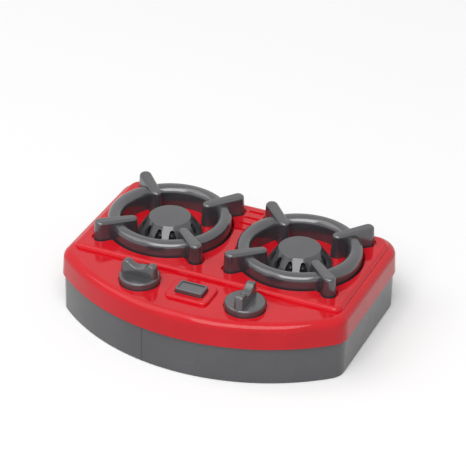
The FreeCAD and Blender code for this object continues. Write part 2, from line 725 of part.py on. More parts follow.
def make_burner_cap(name, side):
    """Hollow flared cap on a centre post, with a ring of egg-shaped flame windows."""
    body = new_body(name + "_burner_cap", side + BURNER_X, BURNER_Y, BOWL_FLOOR)
    profile = new_sketch(body, "profile", "XZ_Plane")
    bore = "screw_shank_radius + screw_fit"
    bore_top = "burner_screw_length - shell_wall + screw_fit"
    roof = "cap_height - cap_wall"
    draw_polygon(profile, [
        (bore, "0"),
        ("cap_post_radius", "0"),
        ("cap_post_radius", roof),
        (CAP_TOP_RADIUS + " - cap_wall / 2", roof),
        (CAP_FOOT_RADIUS + " - cap_wall", "0"),
        (CAP_FOOT_RADIUS, "0"),
        (CAP_FOOT_RADIUS, "cap_lip"),
        (CAP_TOP_RADIUS, "cap_height"),
        ("0", "cap_height"),
        ("0", bore_top),
        (bore, bore_top),
    ])
    revolve(body, profile)
    top = number("cap_height")
    fillet(body, "top_edge", "cap_rounding", lambda edge: at_level(edge, top))
    rise, run = number("cap_height - cap_lip"), number("%s - %s" % (CAP_FOOT_RADIUS, CAP_TOP_RADIUS))
    slope = math.degrees(math.atan2(rise, run))
    window = new_sketch(body, "window", "YZ_Plane", lift="(%s + %s) / 2" % (CAP_FOOT_RADIUS, CAP_TOP_RADIUS),
                        y="(cap_height + cap_lip) / 2", axis=(1, 0, 0), turn=slope - 90)
    draw_egg(window, "cap_window_breadth / 2", "cap_window_crown_radius",
             "(cap_window_breadth - cap_window_length) / 2",
             "cap_window_length / 2 - cap_window_crown_radius")
    cut = pocket(body, window, "cap_wall * 4", both_ways=True)
    repeat_round(body, [cut], (origin_feature(body, "Z_Axis"), [""]), WINDOW_COUNT)
    return body


def draw_egg(sketch, belly, crown, low_centre, high_centre):
    """An egg with its wide end down: two arcs joined by two straight flanks."""
    low, high = number(low_centre), number(high_centre)
    wide, narrow = number(belly), number(crown)
    lean = math.degrees(math.asin((wide - narrow) / (high - low)))
    point = FreeCAD.Vector
    along = point(math.cos(math.radians(lean)), math.sin(math.radians(lean)), 0)
    across = point(-along.x, along.y, 0)
    base, peak = point(0, low, 0), point(0, high, 0)
    sketch.addGeometry([
        arc(base, wide, 180 - lean, 360 + lean),
        Part.LineSegment(base + along * wide, peak + along * narrow),
        arc(peak, narrow, lean, 180 - lean),
        Part.LineSegment(peak + across * narrow, base + across * wide),
    ])
    join_smoothly(sketch, [(step, 1, 2) for step in range(4)])
    drive(sketch, "Radius", 0, size=belly)
    drive(sketch, "Radius", 2, size=crown)
    place(sketch, 0, 3, "0", low_centre)
    place(sketch, 2, 3, "0", high_centre)


def make_jet_ring(name, side):
    """Collar under the cap whose round jets show in the cap's windows."""
    body = new_body(name + "_jet_ring", side + BURNER_X, BURNER_Y, BOWL_FLOOR)
    inner = JET_RING_OUTER + " - jet_ring_breadth"
    profile = new_sketch(body, "profile", "XZ_Plane")
    draw_polygon(profile, [
        (inner, "0"),
        (JET_RING_OUTER, "0"),
        (JET_RING_OUTER, "jet_ring_height"),
        (inner, "jet_ring_height"),
    ])
    revolve(body, profile)
    jet = body.newObject("PartDesign::AdditiveSphere", body.Label + "_jet")
    bind(jet, "Radius", "jet_radius")
    bind(jet, "Placement.Base.x", JET_CIRCLE)
    bind(jet, "Placement.Base.z", "jet_level")
    repeat_round(body, [jet], (origin_feature(body, "Z_Axis"), [""]), WINDOW_COUNT)
    return body


# Knobs


def make_knob(name, side, grip_turn):
    """Disc with a saddle-topped grip bar, on a shaft that ends in a square."""
    body = new_body(name + "_knob", side + "knob_x", KNOB_Y, RIM_TOP)
    under = "knob_lift - knob_recess"
    shoulder = "%s - %s" % (WHEEL_TOP, RIM_TOP)
    shaft_end = "%s - %s" % (WHEEL_BOTTOM, RIM_TOP)
    profile = new_sketch(body, "profile", "XZ_Plane")
    draw_polygon(profile, [
        ("0", shoulder),
        ("shaft_radius", shoulder),
        ("shaft_radius", under),
        ("knob_radius", under),
        ("knob_radius", "knob_disc_height"),
        ("0", "knob_disc_height"),
    ])
    revolve(body, profile)
    disc_top = number("knob_disc_height")
    fillet(body, "disc_edge", "knob_rounding", lambda edge: at_level(edge, disc_top))
    square = new_sketch(body, "square", lift=shaft_end)
    half = "shaft_square / 2"
    draw_polygon(square, [("-" + half, "-" + half), (half, "-" + half), (half, half), ("-" + half, half)])
    pad(body, square, "wheel_thickness + overrun")
    pilot = new_sketch(body, "pilot", lift=shaft_end)
    draw_circle(pilot, "screw_shank_radius + screw_fit")
    pocket(body, pilot, "knob_screw_length + screw_fit", upward=True)
    add_grip(body, grip_turn)
    return body


def add_grip(body, grip_turn):
    """The bar across the knob: its sides lean in, and its top runs over two ears with a saddle between."""
    bar = new_sketch(body, "grip", lift="knob_disc_height / 2", turn=grip_turn)
    reach, half = "knob_radius - grip_setback", "grip_breadth / 2"
    draw_rounded_rectangle(bar, "-(%s)" % reach, reach, "-" + half, half, "grip_corner_radius")
    pad(body, bar, "grip_height - knob_disc_height / 2 + overrun", "grip_draft")
    top = new_sketch(body, "grip_top", "XZ_Plane", axis=(0, 1, 0), turn=grip_turn)
    draw_above_grip(top)
    pocket(body, top, "knob_radius * 2", both_ways=True)
    above = number("knob_disc_height + knob_rounding")
    fillet(body, "grip_edges", "grip_rounding", lambda edge: edge.BoundBox.ZMin > above)


def draw_above_grip(sketch):
    """All that lies above the grip: two round ears, a saddle between them and two leaning ends."""
    ear_y = "(grip_height - grip_ear_radius)"
    out = "(knob_radius + overrun)"
    low = "(knob_disc_height / 2)"
    roof = "(grip_height + overrun * 2)"
    x, y, ear, saddle = (number(text) for text in ("grip_ear_x", ear_y, "grip_ear_radius", SADDLE_RADIUS))
    saddle_y = number("grip_height - grip_dip") + saddle
    meet = math.degrees(math.atan2(saddle_y - y, x))
    beside, below = number(out) - x, number(low) - y
    lean = math.atan2(below, beside) + math.acos(ear / math.hypot(beside, below))
    touch_x, touch_y = x + ear * math.cos(lean), y + ear * math.sin(lean)
    lean = math.degrees(lean)
    point = FreeCAD.Vector
    sketch.addGeometry([
        arc(point(-x, y, 0), ear, meet, 180 - lean),
        arc(point(0, saddle_y, 0), saddle, 180 + meet, 360 - meet),
        arc(point(x, y, 0), ear, lean, 180 - meet),
        Part.LineSegment(point(touch_x, touch_y, 0), vector(out, low)),
        Part.LineSegment(vector(out, low), vector(out, roof)),
        Part.LineSegment(vector(out, roof), vector("-" + out, roof)),
        Part.LineSegment(vector("-" + out, roof), vector("-" + out, low)),
        Part.LineSegment(vector("-" + out, low), point(-touch_x, touch_y, 0)),
    ])
    sketch.addConstraint(Sketcher.Constraint("Tangent", 0, 1, 1, 1))
    sketch.addConstraint(Sketcher.Constraint("Tangent", 1, 2, 2, 2))
    sketch.addConstraint(Sketcher.Constraint("Tangent", 2, 1, 3, 1))
    for item in range(3, 7):
        sketch.addConstraint(Sketcher.Constraint("Coincident", item, 2, item + 1, 1))
    sketch.addConstraint(Sketcher.Constraint("Tangent", 7, 2, 0, 2))
    drive(sketch, "Radius", 1, size=SADDLE_RADIUS)
    for item, centre in ((0, "-grip_ear_x"), (2, "grip_ear_x")):
        drive(sketch, "Radius", item, size="grip_ear_radius")
        place(sketch, item, 3, centre, ear_y)
    place(sketch, 4, 1, out, low)
    place(sketch, 4, 2, out, roof)
    place(sketch, 6, 1, "-" + out, roof)
    place(sketch, 6, 2, "-" + out, low)


def make_click_wheel(name, side):
    """Notched wheel on the knob's square that also holds the knob down."""
    body = new_body(name + "_click_wheel", side + "knob_x", KNOB_Y, WHEEL_BOTTOM)
    disc = new_sketch(body, "disc")
    draw_circle(disc, "wheel_radius")
    half = "(shaft_square / 2 + wheel_fit)"
    draw_polygon(disc, [("-" + half, "-" + half), (half, "-" + half), (half, half), ("-" + half, half)])
    pad(body, disc, "wheel_thickness")
    notch = new_sketch(body, "notch")
    draw_circle(notch, "notch_radius", "0", "notch_circle")
    cut = pocket(body, notch, "wheel_thickness", upward=True)
    repeat_round(body, [cut], (origin_feature(body, "Z_Axis"), [""]), CLICK_COUNT)
    return body


def make_click_spring(name, side):
    """Leaf held in the shell's post, with a bead that rests in one of the wheel's notches."""
    body = new_body(name + "_click_spring", side + "knob_x", LEAF_Y, WHEEL_BOTTOM)
    tail = "leaf_reach + leaf_post_length"
    ends = ("-(%s)" % tail, "leaf_overhang") if not side else ("-leaf_overhang", tail)
    leaf = new_sketch(body, "leaf")
    half = "leaf_thickness / 2"
    draw_polygon(leaf, [(ends[0], "-" + half), (ends[1], "-" + half), (ends[1], half), (ends[0], half)])
    pad(body, leaf, "wheel_thickness")
    bead = new_sketch(body, "bead")
    draw_circle(bead, "notch_radius - leaf_bead_clearance")
    pad(body, bead, "wheel_thickness")
    return body


# Press button


def make_button():
    """Rectangular button with a sunken top, a flange under the shell and a guided stem."""
    body = new_body("ignition_button", "0", BUTTON_Y)
    cap = new_sketch(body, "cap", lift=FLANGE_BOTTOM)
    draw_button_rectangle(cap, "0", "button_corner_radius", "0")
    pad(body, cap, "%s - %s" % (BUTTON_TOP, FLANGE_BOTTOM))
    top = number(BUTTON_TOP)
    fillet(body, "top_edge", "button_rounding", lambda edge: at_level(edge, top))
    dish = new_sketch(body, "dish", lift=BUTTON_TOP)
    draw_button_rectangle(dish, "(-button_dish_margin)", "button_corner_radius / 2", "0")
    pocket(body, dish, "button_dish_depth")
    flange = new_sketch(body, "flange", lift=FLANGE_BOTTOM)
    draw_button_rectangle(flange, "flange_margin", "button_corner_radius", "0")
    pad(body, flange, "flange_thickness")
    stem = new_sketch(body, "stem", lift=STEM_BOTTOM)
    draw_circle(stem, "stem_radius")
    pad(body, stem, "stem_length + flange_thickness / 2")
    return body


def biarc(start, start_way, end, end_way):
    """Two arcs that meet smoothly and join two points with set directions."""
    chord, ways = end - start, start_way + end_way
    spread = 2 * (1 - start_way.dot(end_way))
    reach = (math.sqrt(chord.dot(ways) ** 2 + spread * chord.dot(chord)) - chord.dot(ways)) / spread
    meeting = (start + end + (start_way - end_way) * reach) * 0.5
    return [arc_along(start, start_way, meeting), arc_along(end, end_way * -1, meeting).reversed()]


def arc_along(start, way, end):
    """The arc that leaves a point in one direction and ends at another point."""
    chord = end - start
    unit = FreeCAD.Vector(chord).normalize()
    swing = math.acos(max(-1.0, min(1.0, way.dot(unit))))
    side = (way - unit * way.dot(unit)).normalize()
    middle = start + chord * 0.5 + side * (chord.Length / 2 * math.tan(swing / 2))
    return Part.Arc(start, middle, end).toShape()


def make_button_spring():
    """Coil spring round the button's stem, between the guide tube and the flange."""
    radius, wire = number("spring_mean_radius"), number("spring_wire_radius")
    bottom = number(GUIDE_TOP + " + spring_end_gap") + wire
    top = number(FLANGE_BOTTOM + " - spring_end_gap") - wire
    climb = (top - bottom) / (SPRING_TURNS * 2 * math.pi)

    def on_coil(angle):
        return FreeCAD.Vector(radius * math.cos(angle), radius * math.sin(angle), bottom + climb * angle)

    def way(angle):
        return FreeCAD.Vector(-radius * math.sin(angle), radius * math.cos(angle), climb).normalize()

    half_turns = [step * math.pi for step in range(2 * SPRING_TURNS + 1)]
    edges = []
    for first, last in zip(half_turns, half_turns[1:]):
        edges += biarc(on_coil(first), way(first), on_coil(last), way(last))
    start = Part.Circle(on_coil(0), way(0), wire)
    coil = Part.Wire(edges).makePipeShell([Part.Wire(start.toShape())], True, False)
    pitch = climb * 2 * math.pi
    slope = math.atan2(climb, radius)
    print("button spring: least gap between turns %.2f mm" % (pitch * math.cos(slope) - 2 * wire))
    feature = doc.addObject("Part::Feature", "button_spring")
    feature.Label = "button_spring"
    feature.Shape = coil
    feature.Placement = FreeCAD.Placement(FreeCAD.Vector(0, number(BUTTON_Y), 0), FreeCAD.Rotation())
    return feature


# The whole stove

pieces = [make_base_tray(), make_top_shell()]
case_screws = [
    make_screw("case_screw_%d" % index, "case_screw_length", x, y, "case_screw_seat")
    for index, (x, y) in enumerate(CASE_SCREW_PLACES)
]
pieces.append(group("case_screws", case_screws))
for name, side in SIDES:
    pieces += [make_pan_support(name, side), make_burner_cap(name, side), make_jet_ring(name, side)]
    diagonal = "%s * cos(%d)" % (SUPPORT_SCREW_RADIUS, ARM_ANGLE)
    outward = "%s(%s + %s)" % (side, BURNER_X, diagonal)
    inward = "%s(%s - %s)" % (side, BURNER_X, diagonal)
    support_screws = [
        make_screw(name + "_outer_support_screw", "support_screw_length", outward,
                   "%s + %s" % (BURNER_Y, diagonal), BOWL_UNDER),
        make_screw(name + "_inner_support_screw", "support_screw_length", inward,
                   "%s - %s" % (BURNER_Y, diagonal), BOWL_UNDER),
    ]
    pieces.append(group(name + "_pan_support_screws", support_screws))
    pieces.append(make_screw(name + "_burner_screw", "burner_screw_length",
                             side + BURNER_X, BURNER_Y, BOWL_UNDER))
    pieces += [make_knob(name, side, 0 if side else 90), make_click_wheel(name, side)]
    pieces.append(make_screw(name + "_knob_screw", "knob_screw_length",
                             side + "knob_x", KNOB_Y, WHEEL_BOTTOM))
    pieces.append(make_click_spring(name, side))
pieces += [make_button(), make_button_spring()]
doc.recompute()

for item in doc.Objects:
    if "Invalid" in item.State or "Error" in item.State:
        raise RuntimeError("%s failed: %s" % (item.Label, item.State))
for piece in pieces:
    if piece.Shape.isNull() or not piece.Shape.isValid():
        raise RuntimeError(piece.Label + " has no sound shape")

os.makedirs("parts", exist_ok=True)
for piece in pieces:
    piece.Shape.exportStep("parts/%s.step" % piece.Label)
    box = piece.Shape.BoundBox
    print("%-26s %2d solids, volume %8.1f, z %.2f to %.2f" % (
        piece.Label, len(piece.Shape.Solids), piece.Shape.Volume, box.ZMin, box.ZMax))
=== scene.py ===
# %% [markdown]
# # A toy two-burner stove
# This lesson dresses a stove of moulded plastic that is already built as solids. The solids
# carry all the shapes, so the work here is what the solids can't say: how red gloss plastic
# and satin grey plastic look when a soft studio lamp stands over them.
# The first step loads the solids as a fixed frame. Nothing below moves them.

# %% Load the frame
import math

import bpy
from mathutils import Matrix, Vector


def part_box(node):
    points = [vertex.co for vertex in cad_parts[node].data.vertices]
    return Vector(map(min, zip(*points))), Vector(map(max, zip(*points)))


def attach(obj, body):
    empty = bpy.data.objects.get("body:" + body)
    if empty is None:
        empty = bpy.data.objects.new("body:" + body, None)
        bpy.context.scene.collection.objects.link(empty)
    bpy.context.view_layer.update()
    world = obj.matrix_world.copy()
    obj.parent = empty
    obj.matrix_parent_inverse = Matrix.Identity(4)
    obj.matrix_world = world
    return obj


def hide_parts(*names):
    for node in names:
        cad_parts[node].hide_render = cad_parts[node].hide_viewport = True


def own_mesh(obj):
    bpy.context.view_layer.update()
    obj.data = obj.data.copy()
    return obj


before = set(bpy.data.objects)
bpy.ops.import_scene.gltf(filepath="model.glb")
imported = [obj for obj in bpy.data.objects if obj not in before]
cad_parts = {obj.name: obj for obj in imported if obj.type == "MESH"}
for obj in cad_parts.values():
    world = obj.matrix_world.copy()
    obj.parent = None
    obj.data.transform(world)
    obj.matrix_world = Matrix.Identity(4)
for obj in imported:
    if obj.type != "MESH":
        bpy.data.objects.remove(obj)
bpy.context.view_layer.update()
bpy.ops.object.select_all(action="DESELECT")
print("nodes", sorted(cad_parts))

# %% [markdown]
# ## The camera
# The stove is seen from a little right of its front and about 31 degrees above the table,
# through a long lens, so that the far edge is hardly smaller than the near one. The camera
# could be aimed by a constraint, but a matrix of three axes and a place says the same with
# no roll left to chance: the view leans by a degree.

# %% Set up the camera
CAMERA_PLACE = Vector((0.34662674, -0.79940571, 0.57479183))
CAMERA_RIGHT = Vector((0.91539726, 0.40217129, 0.01749596))
CAMERA_UP = Vector((-0.22304183, 0.47053358, 0.85372741))
CAMERA_LENS_MM = 176.66
SENSOR_MM = 36.0
CLIP_NEAR_M = 0.05
CLIP_FAR_M = 30.0

camera_data = bpy.data.cameras.new("stove_camera")
camera_data.lens = CAMERA_LENS_MM
camera_data.sensor_width = SENSOR_MM
camera_data.clip_start = CLIP_NEAR_M
camera_data.clip_end = CLIP_FAR_M
camera = bpy.data.objects.new("stove_camera", camera_data)
camera_back = CAMERA_RIGHT.cross(CAMERA_UP).normalized()
axes = Matrix((CAMERA_RIGHT, CAMERA_UP, camera_back)).transposed()
camera.matrix_world = Matrix.Translation(CAMERA_PLACE) @ axes.to_4x4()
bpy.context.scene.collection.objects.link(camera)
bpy.context.scene.camera = camera
bpy.context.scene.view_settings.view_transform = "Standard"
print("camera looks along", [round(part, 3) for part in -camera_back])

# %% [markdown]
# ## What the camera and a gloss see
# A white table under studio light comes out a little grey in a picture. So the rays that the
# camera or a gloss sends out see it a little whiter than the rays that carry bounced light.
# The table and the room both ask for that, so the question is put in one place.


# %% Ask which rays look directly
def looks_directly(tree):
    """1 for camera, glossy and transmission rays, 0 for the rays that carry bounced light."""
    path = tree.nodes.new("ShaderNodeLightPath")
    answer = path.outputs["Is Camera Ray"]
    for other in ("Is Glossy Ray", "Is Transmission Ray"):
        either = tree.nodes.new("ShaderNodeMath")
        either.operation = "MAXIMUM"
        tree.links.new(answer, either.inputs[0])
        tree.links.new(path.outputs[other], either.inputs[1])
        answer = either.outputs[0]
    return answer


print("direct rays are told apart")

# %% [markdown]
# ## The table
# The stove stands on a wide white table that fills the whole view. Both of its whites are
# diffuse, so the soft shadow of the stove stays.

# %% Lay the table
FLOOR_SIDE = 12.0
FLOOR_BOUNCE = (0.44, 0.44, 0.44, 1.0)
FLOOR_SEEN = (1.0, 1.0, 1.0, 1.0)

bpy.ops.mesh.primitive_plane_add(size=FLOOR_SIDE, location=(0.0, 0.0, 0.0))
floor = bpy.context.object
floor.name = "table_top"

table_white = bpy.data.materials.new("table_white")
table_white.use_nodes = True
table_tree = table_white.node_tree
table_tree.nodes.clear()
table_out = table_tree.nodes.new("ShaderNodeOutputMaterial")
bounce = table_tree.nodes.new("ShaderNodeBsdfDiffuse")
bounce.inputs["Color"].default_value = FLOOR_BOUNCE
seen = table_tree.nodes.new("ShaderNodeBsdfDiffuse")
seen.inputs["Color"].default_value = FLOOR_SEEN
table_mix = table_tree.nodes.new("ShaderNodeMixShader")
table_tree.links.new(looks_directly(table_tree), table_mix.inputs["Fac"])
table_tree.links.new(bounce.outputs[0], table_mix.inputs[1])
table_tree.links.new(seen.outputs[0], table_mix.inputs[2])
table_tree.links.new(table_mix.outputs[0], table_out.inputs["Surface"])
floor.data.materials.append(table_white)
print("table is", FLOOR_SIDE, "m wide")

# %% [markdown]
# ## The light
# Small glossy goods are lit by one large soft lamp over the camera's shoulder, a weaker one
# from the left, and a white room that fills in the rest. The front lamp has to be large,
# because its mirror image is what draws the pale streaks along every rounded edge. The left
# lamp gives the soft shadow on the right.

# %% Hang the lamps and fill the room
FRONT_LAMP = {"azimuth": 14.0, "height": 52.0, "away": 4.0, "size": (3.2, 3.0), "watts": 124.0}
LEFT_LAMP = {"azimuth": -65.0, "height": 55.0, "away": 4.0, "size": (3.1, 3.1), "watts": 42.0}
ROOM_LEVEL = 0.32
ROOM_SEEN = 1.0


def hang_lamp(name, azimuth, height, away, size, watts):
    """A soft rectangular lamp that faces the stove.

    Azimuth 0 is in front of the stove, and height is the lamp's elevation in degrees.
    """
    lamp_data = bpy.data.lights.new(name, "AREA")
    lamp_data.shape = "RECTANGLE"
    lamp_data.size, lamp_data.size_y = size
    lamp_data.energy = watts
    lamp = bpy.data.objects.new(name, lamp_data)
    turn, rise = math.radians(azimuth), math.radians(height)
    aim = Vector((math.sin(turn) * math.cos(rise), -math.cos(turn) * math.cos(rise), math.sin(rise)))
    lamp.location = aim * away
    lamp.rotation_euler = aim.to_track_quat("Z", "Y").to_euler()
    bpy.context.scene.collection.objects.link(lamp)
    print(name, "hangs at", [round(part, 2) for part in lamp.location])


hang_lamp("front_lamp", **FRONT_LAMP)
hang_lamp("left_lamp", **LEFT_LAMP)

room = bpy.data.worlds.new("white_room")
room.use_nodes = True
room_tree = room.node_tree
room_strength = room_tree.nodes.new("ShaderNodeMapRange")
room_strength.inputs["To Min"].default_value = ROOM_LEVEL
room_strength.inputs["To Max"].default_value = ROOM_SEEN
room_tree.links.new(looks_directly(room_tree), room_strength.inputs["Value"])
room_back = room_tree.nodes["Background"]
room_back.inputs["Color"].default_value = (1.0, 1.0, 1.0, 1.0)
room_tree.links.new(room_strength.outputs["Result"], room_back.inputs["Strength"])
bpy.context.scene.world = room
print("room level", ROOM_LEVEL)

# %% [markdown]
# ## Helpers for node work
# Every finish below is a small tree of nodes. These helpers add a node with its settings
# and tie two sockets together, so that each finish reads as a list of what feeds what.


# %% Node helpers
def add_node(tree, kind, **settings):
    """A new node in the tree, with its own settings."""
    made = tree.nodes.new(kind)
    for name, value in settings.items():
        setattr(made, name, value)
    return made


def tie(tree, source, target):
    """A link from one socket to another."""
    tree.links.new(source, target)


def noise(tree, place, size_mm, detail, rough=0.5):
    """Noise on object coordinates whose features are about size_mm across."""
    made = add_node(tree, "ShaderNodeTexNoise")
    made.inputs["Scale"].default_value = 1000.0 / size_mm
    made.inputs["Detail"].default_value = detail
    made.inputs["Roughness"].default_value = rough
    tie(tree, place, made.inputs["Vector"])
    return made.outputs["Fac"]


def ramp(tree, source, low, high, to_low=0.0, to_high=1.0):
    """The source's span from low to high, spread over to_low to to_high."""
    made = add_node(tree, "ShaderNodeMapRange", interpolation_type="SMOOTHSTEP")
    made.inputs["From Min"].default_value = low
    made.inputs["From Max"].default_value = high
    made.inputs["To Min"].default_value = to_low
    made.inputs["To Max"].default_value = to_high
    tie(tree, source, made.inputs["Value"])
    return made.outputs["Result"]


def math_node(tree, operation, first, second):
    """One sum on two sockets, or on a socket and a number."""
    made = add_node(tree, "ShaderNodeMath", operation=operation)
    for socket, value in zip(made.inputs, (first, second)):
        if isinstance(value, (int, float)):
            socket.default_value = value
        else:
            tie(tree, value, socket)
    return made.outputs[0]


def new_group(name, inputs, outputs):
    """An empty shader node group with float sockets, and its two end nodes."""
    tree = bpy.data.node_groups.new(name, "ShaderNodeTree")
    for label, start in inputs:
        socket = tree.interface.new_socket(label, in_out="INPUT", socket_type="NodeSocketFloat")
        socket.default_value = start
    for label in outputs:
        tree.interface.new_socket(label, in_out="OUTPUT", socket_type="NodeSocketFloat")
    return tree, add_node(tree, "NodeGroupInput"), add_node(tree, "NodeGroupOutput")


print("node helpers ready")

# %% [markdown]
# ## Moulded skin
# Plastic that has been shot into a polished steel mould is never quite flat. It has a slow
# waviness where it shrank while it cooled, and over that the finest grain of the mould
# steel. The wave bends reflections, the grain breaks up the gloss, and the pigment varies
# in clouds. Both could be cut in the mesh, but at a few thousandths of a millimetre they
# are better as a height for a bump. All the plastics use it, so it is a node group.

# %% The moulded skin group
CLOUD_MM = 26.0
GLOSS_PATCH_MM = 9.0
PATCH_WEIGHT = 0.6
GRAIN_WEIGHT = 0.4

skin, skin_in, skin_out = new_group(
    "moulded_skin",
    [("Wave Size", 140.0), ("Grain Size", 3000.0), ("Grain Share", 0.2)],
    ["Cloud", "Gloss", "Height"])
skin_place = add_node(skin, "ShaderNodeTexCoord").outputs["Object"]
skin_wave = add_node(skin, "ShaderNodeTexNoise")
skin_wave.inputs["Detail"].default_value = 1.0
tie(skin, skin_place, skin_wave.inputs["Vector"])
tie(skin, skin_in.outputs["Wave Size"], skin_wave.inputs["Scale"])
skin_grain = add_node(skin, "ShaderNodeTexNoise")
skin_grain.inputs["Detail"].default_value = 3.0
tie(skin, skin_place, skin_grain.inputs["Vector"])
tie(skin, skin_in.outputs["Grain Size"], skin_grain.inputs["Scale"])
skin_cloud = noise(skin, skin_place, CLOUD_MM, 3.0)
tie(skin, ramp(skin, skin_cloud, 0.3, 0.7), skin_out.inputs["Cloud"])
gloss_patch = ramp(skin, noise(skin, skin_place, GLOSS_PATCH_MM, 4.0, 0.6), 0.32, 0.68)
gloss_grain = ramp(skin, skin_grain.outputs["Fac"], 0.35, 0.65)
gloss_sum = math_node(skin, "ADD", math_node(skin, "MULTIPLY", gloss_patch, PATCH_WEIGHT),
                      math_node(skin, "MULTIPLY", gloss_grain, GRAIN_WEIGHT))
tie(skin, gloss_sum, skin_out.inputs["Gloss"])
grain_height = math_node(skin, "MULTIPLY", skin_grain.outputs["Fac"],
                         skin_in.outputs["Grain Share"])
tie(skin, math_node(skin, "ADD", skin_wave.outputs["Fac"], grain_height),
    skin_out.inputs["Height"])
print("group", skin.name, "has", len(skin.nodes), "nodes")

# %% [markdown]
# ## Handling marks
# A toy that has been taken out of its box and put back has hairline marks: short, straight,
# in many directions, and only seen as a dull thread in the gloss. A Voronoi edge would give
# closed cells. Stretched noise gives threads, so three layers of it, each turned another
# way, are cut to thin lines and thinned out by a slow patchy noise.

# %% The handling marks group
THREAD_TURNS_AND_STRETCHES = (
    ((0.3, 0.2, 0.5), (90.0, 2600.0, 700.0)),
    ((0.9, -0.4, 2.1), (2400.0, 80.0, 800.0)),
    ((-0.5, 0.7, 1.2), (100.0, 2900.0, 900.0)),
)
THREAD_CUT = (0.70, 0.78)
THREAD_PATCH_MM = 17.0

marks, marks_in, marks_out = new_group("handling_marks", [("Amount", 0.5)], ["Marks"])
marks_place = add_node(marks, "ShaderNodeTexCoord").outputs["Object"]
thread_layers = []
for turn, stretch in THREAD_TURNS_AND_STRETCHES:
    thread_map = add_node(marks, "ShaderNodeMapping")
    thread_map.inputs["Rotation"].default_value = turn
    thread_map.inputs["Scale"].default_value = stretch
    tie(marks, marks_place, thread_map.inputs["Vector"])
    thread = add_node(marks, "ShaderNodeTexNoise")
    thread.inputs["Scale"].default_value = 1.0
    thread.inputs["Detail"].default_value = 1.0
    tie(marks, thread_map.outputs["Vector"], thread.inputs["Vector"])
    thread_layers.append(ramp(marks, thread.outputs["Fac"], *THREAD_CUT))
thread_sum = math_node(marks, "MAXIMUM", thread_layers[0],
                       math_node(marks, "MAXIMUM", thread_layers[1], thread_layers[2]))
thread_patch = ramp(marks, noise(marks, marks_place, THREAD_PATCH_MM, 2.0), 0.42, 0.62)
tie(marks, math_node(marks, "MULTIPLY", math_node(marks, "MULTIPLY", thread_sum, thread_patch),
                     marks_in.outputs["Amount"]), marks_out.inputs["Marks"])
print("group", marks.name, "has", len(marks.nodes), "nodes")

# %% [markdown]
# ## Settled dust
# Dust lies on what faces up and stays away from what faces down. The surface's own normal
# says which is which, so its upward part is the mask, and a fine noise breaks it into
# specks. It is only a breath of pale dust: these are new goods.

# %% The settled dust group
FACES_UP = (0.55, 0.98)
SPECK_MM = 0.55
DRIFT_MM = 30.0

dust, dust_in, dust_out = new_group("settled_dust", [("Amount", 0.5)], ["Dust"])
dust_place = add_node(dust, "ShaderNodeTexCoord").outputs["Object"]
dust_normal = add_node(dust, "ShaderNodeSeparateXYZ")
tie(dust, add_node(dust, "ShaderNodeNewGeometry").outputs["Normal"], dust_normal.inputs[0])
dust_up = ramp(dust, dust_normal.outputs["Z"], *FACES_UP)
dust_specks = ramp(dust, noise(dust, dust_place, SPECK_MM, 2.0), 0.62, 0.76)
dust_drift = ramp(dust, noise(dust, dust_place, DRIFT_MM, 3.0), 0.35, 0.7, 0.2, 1.0)
dust_all = math_node(dust, "MULTIPLY", math_node(dust, "MULTIPLY", dust_specks, dust_up),
                     dust_drift)
tie(dust, math_node(dust, "MULTIPLY", dust_all, dust_in.outputs["Amount"]),
    dust_out.inputs["Dust"])
print("group", dust.name, "has", len(dust.nodes), "nodes")

# %% [markdown]
# ## Painted shade under the caps
# The windows of a burner cap look into the dark. So the shell's red is painted near black where a
# cap covers it, a painted shade that stands in for the cap's shadow, inside a circle a little
# smaller than the cap's foot. A mask by the distance from the cap's axis says where it lies,
# and the cap's own box says where that axis is.

# %% The painted shade mask
# Painted shade: a near-black tone and a duller gloss on the red where each cap's shadow falls.
CAP_SHADOW_TONE = (0.020, 0.020, 0.022, 1.0)
CAP_SHADOW_DULLING = 0.35
CAP_SHADOW_INSET = 0.0006
CAP_SHADOW_EDGE = 0.0003


def painted_cap_shadow(tree, node_name):
    """1 on the round patch of painted shade that the named node covers, 0 outside it."""
    low, high = (Vector(corner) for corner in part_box(node_name))
    middle = (low + high) / 2
    radius = (high.x - low.x) / 2 - CAP_SHADOW_INSET
    around = add_node(tree, "ShaderNodeMapping")
    around.inputs["Location"].default_value = (-middle.x, -middle.y, 0.0)
    around.inputs["Scale"].default_value = (1.0, 1.0, 0.0)
    tie(tree, add_node(tree, "ShaderNodeTexCoord").outputs["Object"], around.inputs["Vector"])
    away = add_node(tree, "ShaderNodeVectorMath", operation="LENGTH")
    tie(tree, around.outputs["Vector"], away.inputs[0])
    print("paint under", node_name, "is", round(2000 * radius, 1), "mm across")
    return ramp(tree, away.outputs["Value"], radius - CAP_SHADOW_EDGE, radius, 1.0, 0.0)


# %% [markdown]
# ## A plastic finish
# Each plastic piece takes the same recipe with its own values: two near tones of its pigment
# mixed by the cloud, a roughness between two levels, the height of the skin as bump, marks
# that dull the gloss, and dust that lightens the colour. The shader itself stays in the
# material, and what is the same all over is set on the shader's own sockets.


# %% The plastic recipe
DUST_TONE = (0.62, 0.60, 0.57, 1.0)
MARK_DULLING = 0.25
DUST_DULLING = 0.35


def mix_tone(tree, factor, first, second):
    """A colour between two, each a socket or four numbers."""
    made = add_node(tree, "ShaderNodeMix", data_type="RGBA")
    tie(tree, factor, made.inputs["Factor"])
    for label, value in (("A", first), ("B", second)):
        socket = [s for s in made.inputs if s.name == label and s.type == "RGBA"][0]
        if isinstance(value, tuple):
            socket.default_value = value
        else:
            tie(tree, value, socket)
    return [s for s in made.outputs if s.type == "RGBA"][0]


def place_group(tree, group, **values):
    """The group in a material, with its own input values."""
    made = add_node(tree, "ShaderNodeGroup", node_tree=group)
    for label, value in values.items():
        made.inputs[label.replace("_", " ").title()].default_value = value
    return made


